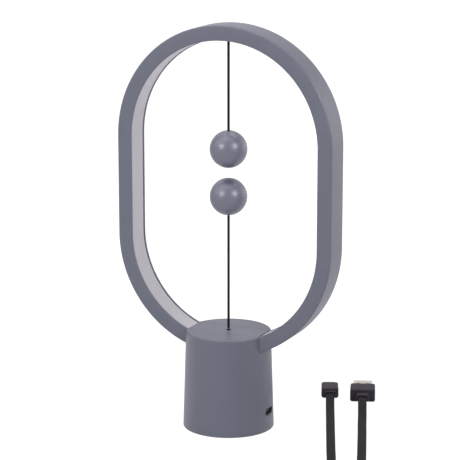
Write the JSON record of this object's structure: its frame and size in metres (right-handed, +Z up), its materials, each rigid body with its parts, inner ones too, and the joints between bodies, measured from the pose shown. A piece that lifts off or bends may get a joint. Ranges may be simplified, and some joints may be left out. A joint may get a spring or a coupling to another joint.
{
  "type": "led table lamp",
  "caption": "Table lamp with an upright glowing oval ring on a round base, switched on when two magnetic balls on cords hold each other in mid-air.",
  "frame": {"origin": "middle of the round foot, on the surface that the lamp stands on", "axes": "+Z up, +X to the ring's right seen from the front (the side with the power socket), -Y towards the viewer in front of the ring"},
  "size_m": [0.21, 0.2272, 0.2401],
  "materials": {
    "grey_plastic": "satin blue-grey paint",
    "ball_plastic": "satin blue-grey paint",
    "diffuser": "frosted, pale grey when unlit",
    "strip_board": "white flexible board",
    "black_cord": "thin black cord",
    "black_plastic": "moulded",
    "dark_foam": "dark non-slip pad",
    "white_nylon": "natural white",
    "green_board": "lacquered circuit board",
    "steel": "zinc plated",
    "cast_iron": "dark, as cast",
    "magnet_nickel": "nickel plated",
    "plug_steel": "plated sheet",
    "plug_rubber": "matte black moulding",
    "cable_rubber": "matte black jacket",
    "lead_red": "red insulation"
  },
  "bodies": {
    "root": {"ring_rear_shell": "grey_plastic", "ring_front_cover": "grey_plastic", "ring_diffuser": "diffuser", "led_strip": "strip_board", "upper_cord_anchor": "grey_plastic", "return_spring": "steel", "switch_frame": "white_nylon", "switch_body": "black_plastic", "base_shell": "grey_plastic", "slot_cover": "grey_plastic", "cord_bush": "black_plastic", "base_bottom_cover": "grey_plastic", "foot_pad": "dark_foam", "ballast_weight": "cast_iron", "main_board": "green_board", "lead_socket": "white_nylon", "driver_chip": "black_plastic", "capacitor": "steel", "usb_c_socket_shell": "steel", "usb_c_socket_tongue": "black_plastic", "cover_screw_1": "steel", "cover_screw_2": "steel", "cover_screw_3": "steel", "ballast_screw_1": "steel", "frame_screw_1": "steel", "frame_screw_2": "steel", "slot_cover_screw_1": "steel", "slot_cover_screw_2": "steel", "board_screw_1": "steel", "board_screw_2": "steel", "led_lead": "black_plastic", "switch_lead": "lead_red", "usb_cable_c_end": "cable_rubber", "usb_cable_coil": "cable_rubber", "usb_cable_a_end": "cable_rubber", "usb_cable_tie": "black_plastic", "usb_c_plug_body": "plug_rubber", "usb_c_plug_shell": "plug_steel", "usb_c_plug_insert": "black_plastic", "usb_a_plug_body": "plug_rubber", "usb_a_plug_shell": "plug_steel", "usb_a_plug_tongue": "white_nylon"},
    "upper_bead": {"upper_cord_bead": "black_cord"},
    "upper_pendulum": {"upper_cord": "black_cord", "upper_ball_top_half": "ball_plastic", "upper_ball_bottom_half": "ball_plastic", "upper_magnet": "magnet_nickel", "upper_cord_knot": "black_cord"},
    "pull": {"pull_slider": "white_nylon", "pull_cord": "black_cord", "pull_cord_knot": "black_cord"},
    "lower_bead": {"lower_cord_bead": "black_cord"},
    "lower_stem": {"lower_cord": "black_cord"},
    "lower_ball": {"lower_ball_top_half": "ball_plastic", "lower_ball_bottom_half": "ball_plastic", "lower_magnet": "magnet_nickel", "lower_cord_knot": "black_cord"},
    "lever": {"switch_lever": "steel"},
    "button": {"switch_button": "lead_red"}
  },
  "joints": [
    {"name": "upper_swing_front", "type": "hinge", "parent": "root", "child": "upper_bead", "pos_m": [0, 0, 0.2313], "axis": [1, 0, 0], "range_deg": [-50, 50]},
    {"name": "upper_swing_side", "type": "hinge", "parent": "upper_bead", "child": "upper_pendulum", "pos_m": [0, 0, 0.2313], "axis": [0, 1, 0], "range_deg": [-40, 40]},
    {"name": "pull_slide", "type": "slide", "parent": "root", "child": "pull", "axis": [0, 0, 1], "range_m": [-0.0015, 0], "stiffness_N_per_m": 80, "springref_m": 0.002, "deforming": ["return_spring"]},
    {"name": "lower_tilt_front", "type": "hinge", "parent": "pull", "child": "lower_bead", "pos_m": [0, 0, 0.0584], "axis": [1, 0, 0], "range_deg": [-15, 15], "stiffness_Nm_per_rad": 0.02},
    {"name": "lower_tilt_side", "type": "hinge", "parent": "lower_bead", "child": "lower_stem", "pos_m": [0, 0, 0.0584], "axis": [0, 1, 0], "range_deg": [-15, 15], "stiffness_Nm_per_rad": 0.02},
    {"name": "lower_ball_drop", "type": "slide", "parent": "lower_stem", "child": "lower_ball", "axis": [0, 0, 1], "range_m": [-0.066, 0], "deforming": ["lower_cord"]},
    {"name": "lever_turn", "type": "hinge", "parent": "root", "child": "lever", "pos_m": [0.01775, 0, 0.0329], "axis": [0, 1, 0], "range_deg": [-6.5, 0]},
    {"name": "button_press", "type": "slide", "parent": "root", "child": "button", "axis": [0, 0, 1], "range_m": [-0.0007, 0]}
  ],
  "couplings": [
    {"joint": "lever_turn", "follows": "pull_slide", "rad_per_m": 74.35},
    {"joint": "button_press", "follows": "pull_slide", "ratio": 0.4126}
  ]
}
